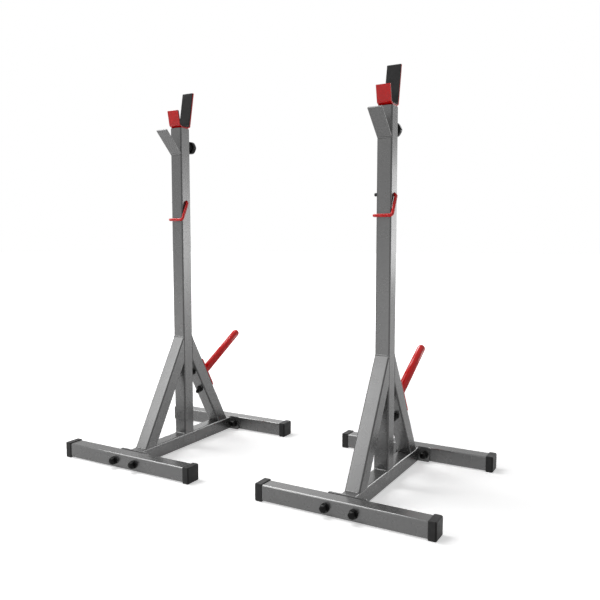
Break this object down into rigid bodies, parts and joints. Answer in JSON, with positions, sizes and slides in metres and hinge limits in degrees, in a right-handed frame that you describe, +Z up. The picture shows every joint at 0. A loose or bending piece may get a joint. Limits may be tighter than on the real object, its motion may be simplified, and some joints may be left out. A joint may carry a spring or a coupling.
{
  "type": "squat stand",
  "caption": "Pair of free-standing squat stands with telescoping posts, rubber-lined cups, pin height lock, clamp knob, lower rest and storage peg.",
  "frame": {"origin": "on the floor, in the middle of the pair's outline", "axes": "+X from the left stand to the right stand, +Y to the back where the storage pegs point, +Z up"},
  "size_m": [1.1184, 0.5614, 1.0705],
  "materials": {
    "grey_paint": "semi-gloss grey powder coat with a slight metallic sheen",
    "red_paint": "glossy red powder coat",
    "black_plastic": "moulded black plastic, satin",
    "rubber": "dark charcoal rubber, matt",
    "zinc_steel": "zinc-plated steel"
  },
  "bodies": {
    "root": {"left_front_foot": "grey_paint", "left_rear_foot": "grey_paint", "left_spine": "grey_paint", "left_front_flange": "grey_paint", "left_rear_flange": "grey_paint", "left_outer_post": "grey_paint", "left_front_brace": "grey_paint", "left_rear_brace": "grey_paint", "left_lower_rest": "grey_paint", "left_clamp_nut": "grey_paint", "left_peg_bracket": "red_paint", "left_storage_peg": "red_paint", "left_front_foot_cap_a": "black_plastic", "left_front_foot_cap_b": "black_plastic", "left_rear_foot_cap_a": "black_plastic", "left_rear_foot_cap_b": "black_plastic", "left_front_foot_bolt_a": "black_plastic", "left_front_foot_bolt_b": "black_plastic", "left_rear_foot_bolt_a": "black_plastic", "left_rear_foot_bolt_b": "black_plastic", "left_lower_peg_bolt": "black_plastic", "left_upper_peg_bolt": "black_plastic", "left_lower_peg_nut": "black_plastic", "left_upper_peg_nut": "black_plastic", "right_front_foot": "grey_paint", "right_rear_foot": "grey_paint", "right_spine": "grey_paint", "right_front_flange": "grey_paint", "right_rear_flange": "grey_paint", "right_outer_post": "grey_paint", "right_front_brace": "grey_paint", "right_rear_brace": "grey_paint", "right_lower_rest": "grey_paint", "right_clamp_nut": "grey_paint", "right_peg_bracket": "red_paint", "right_storage_peg": "red_paint", "right_front_foot_cap_a": "black_plastic", "right_front_foot_cap_b": "black_plastic", "right_rear_foot_cap_a": "black_plastic", "right_rear_foot_cap_b": "black_plastic", "right_front_foot_bolt_a": "black_plastic", "right_front_foot_bolt_b": "black_plastic", "right_rear_foot_bolt_a": "black_plastic", "right_rear_foot_bolt_b": "black_plastic", "right_lower_peg_bolt": "black_plastic", "right_upper_peg_bolt": "black_plastic", "right_lower_peg_nut": "black_plastic", "right_upper_peg_nut": "black_plastic"},
    "left_slider": {"left_inner_post": "red_paint", "left_cup": "red_paint", "left_cup_liner": "rubber"},
    "left_pin": {"left_lock_pin": "red_paint"},
    "left_clamp_screw": {"left_clamp_stud": "zinc_steel"},
    "left_clamp_handle": {"left_clamp_knob": "black_plastic"},
    "right_slider": {"right_inner_post": "red_paint", "right_cup": "red_paint", "right_cup_liner": "rubber"},
    "right_pin": {"right_lock_pin": "red_paint"},
    "right_clamp_screw": {"right_clamp_stud": "zinc_steel"},
    "right_clamp_handle": {"right_clamp_knob": "black_plastic"}
  },
  "joints": [
    {"name": "left_height_slide", "type": "slide", "parent": "root", "child": "left_slider", "axis": [0, 0, 1], "range_m": [0, 0.48]},
    {"name": "left_pin_swing", "type": "hinge", "parent": "root", "child": "left_pin", "pos_m": [-0.331, -0.00502, 0.7455], "axis": [-1, 0, 0], "range_deg": [0, 125]},
    {"name": "left_clamp_travel", "type": "slide", "parent": "root", "child": "left_clamp_screw", "axis": [0, 1, 0], "range_m": [0, 0.003]},
    {"name": "left_clamp_turn", "type": "hinge", "parent": "left_clamp_screw", "child": "left_clamp_handle", "pos_m": [-0.331, 0.03998, 0.91], "axis": [0, 1, 0], "range_deg": [0, 720]},
    {"name": "right_height_slide", "type": "slide", "parent": "root", "child": "right_slider", "axis": [0, 0, 1], "range_m": [0, 0.48]},
    {"name": "right_pin_swing", "type": "hinge", "parent": "root", "child": "right_pin", "pos_m": [0.331, -0.00502, 0.7455], "axis": [-1, 0, 0], "range_deg": [0, 125]},
    {"name": "right_clamp_travel", "type": "slide", "parent": "root", "child": "right_clamp_screw", "axis": [0, 1, 0], "range_m": [0, 0.003]},
    {"name": "right_clamp_turn", "type": "hinge", "parent": "right_clamp_screw", "child": "right_clamp_handle", "pos_m": [0.331, 0.03998, 0.91], "axis": [0, 1, 0], "range_deg": [0, 720]}
  ],
  "couplings": [
    {"joint": "left_clamp_turn", "follows": "left_clamp_travel", "rad_per_m": 4188.8},
    {"joint": "right_clamp_turn", "follows": "right_clamp_travel", "rad_per_m": 4188.8}
  ]
}
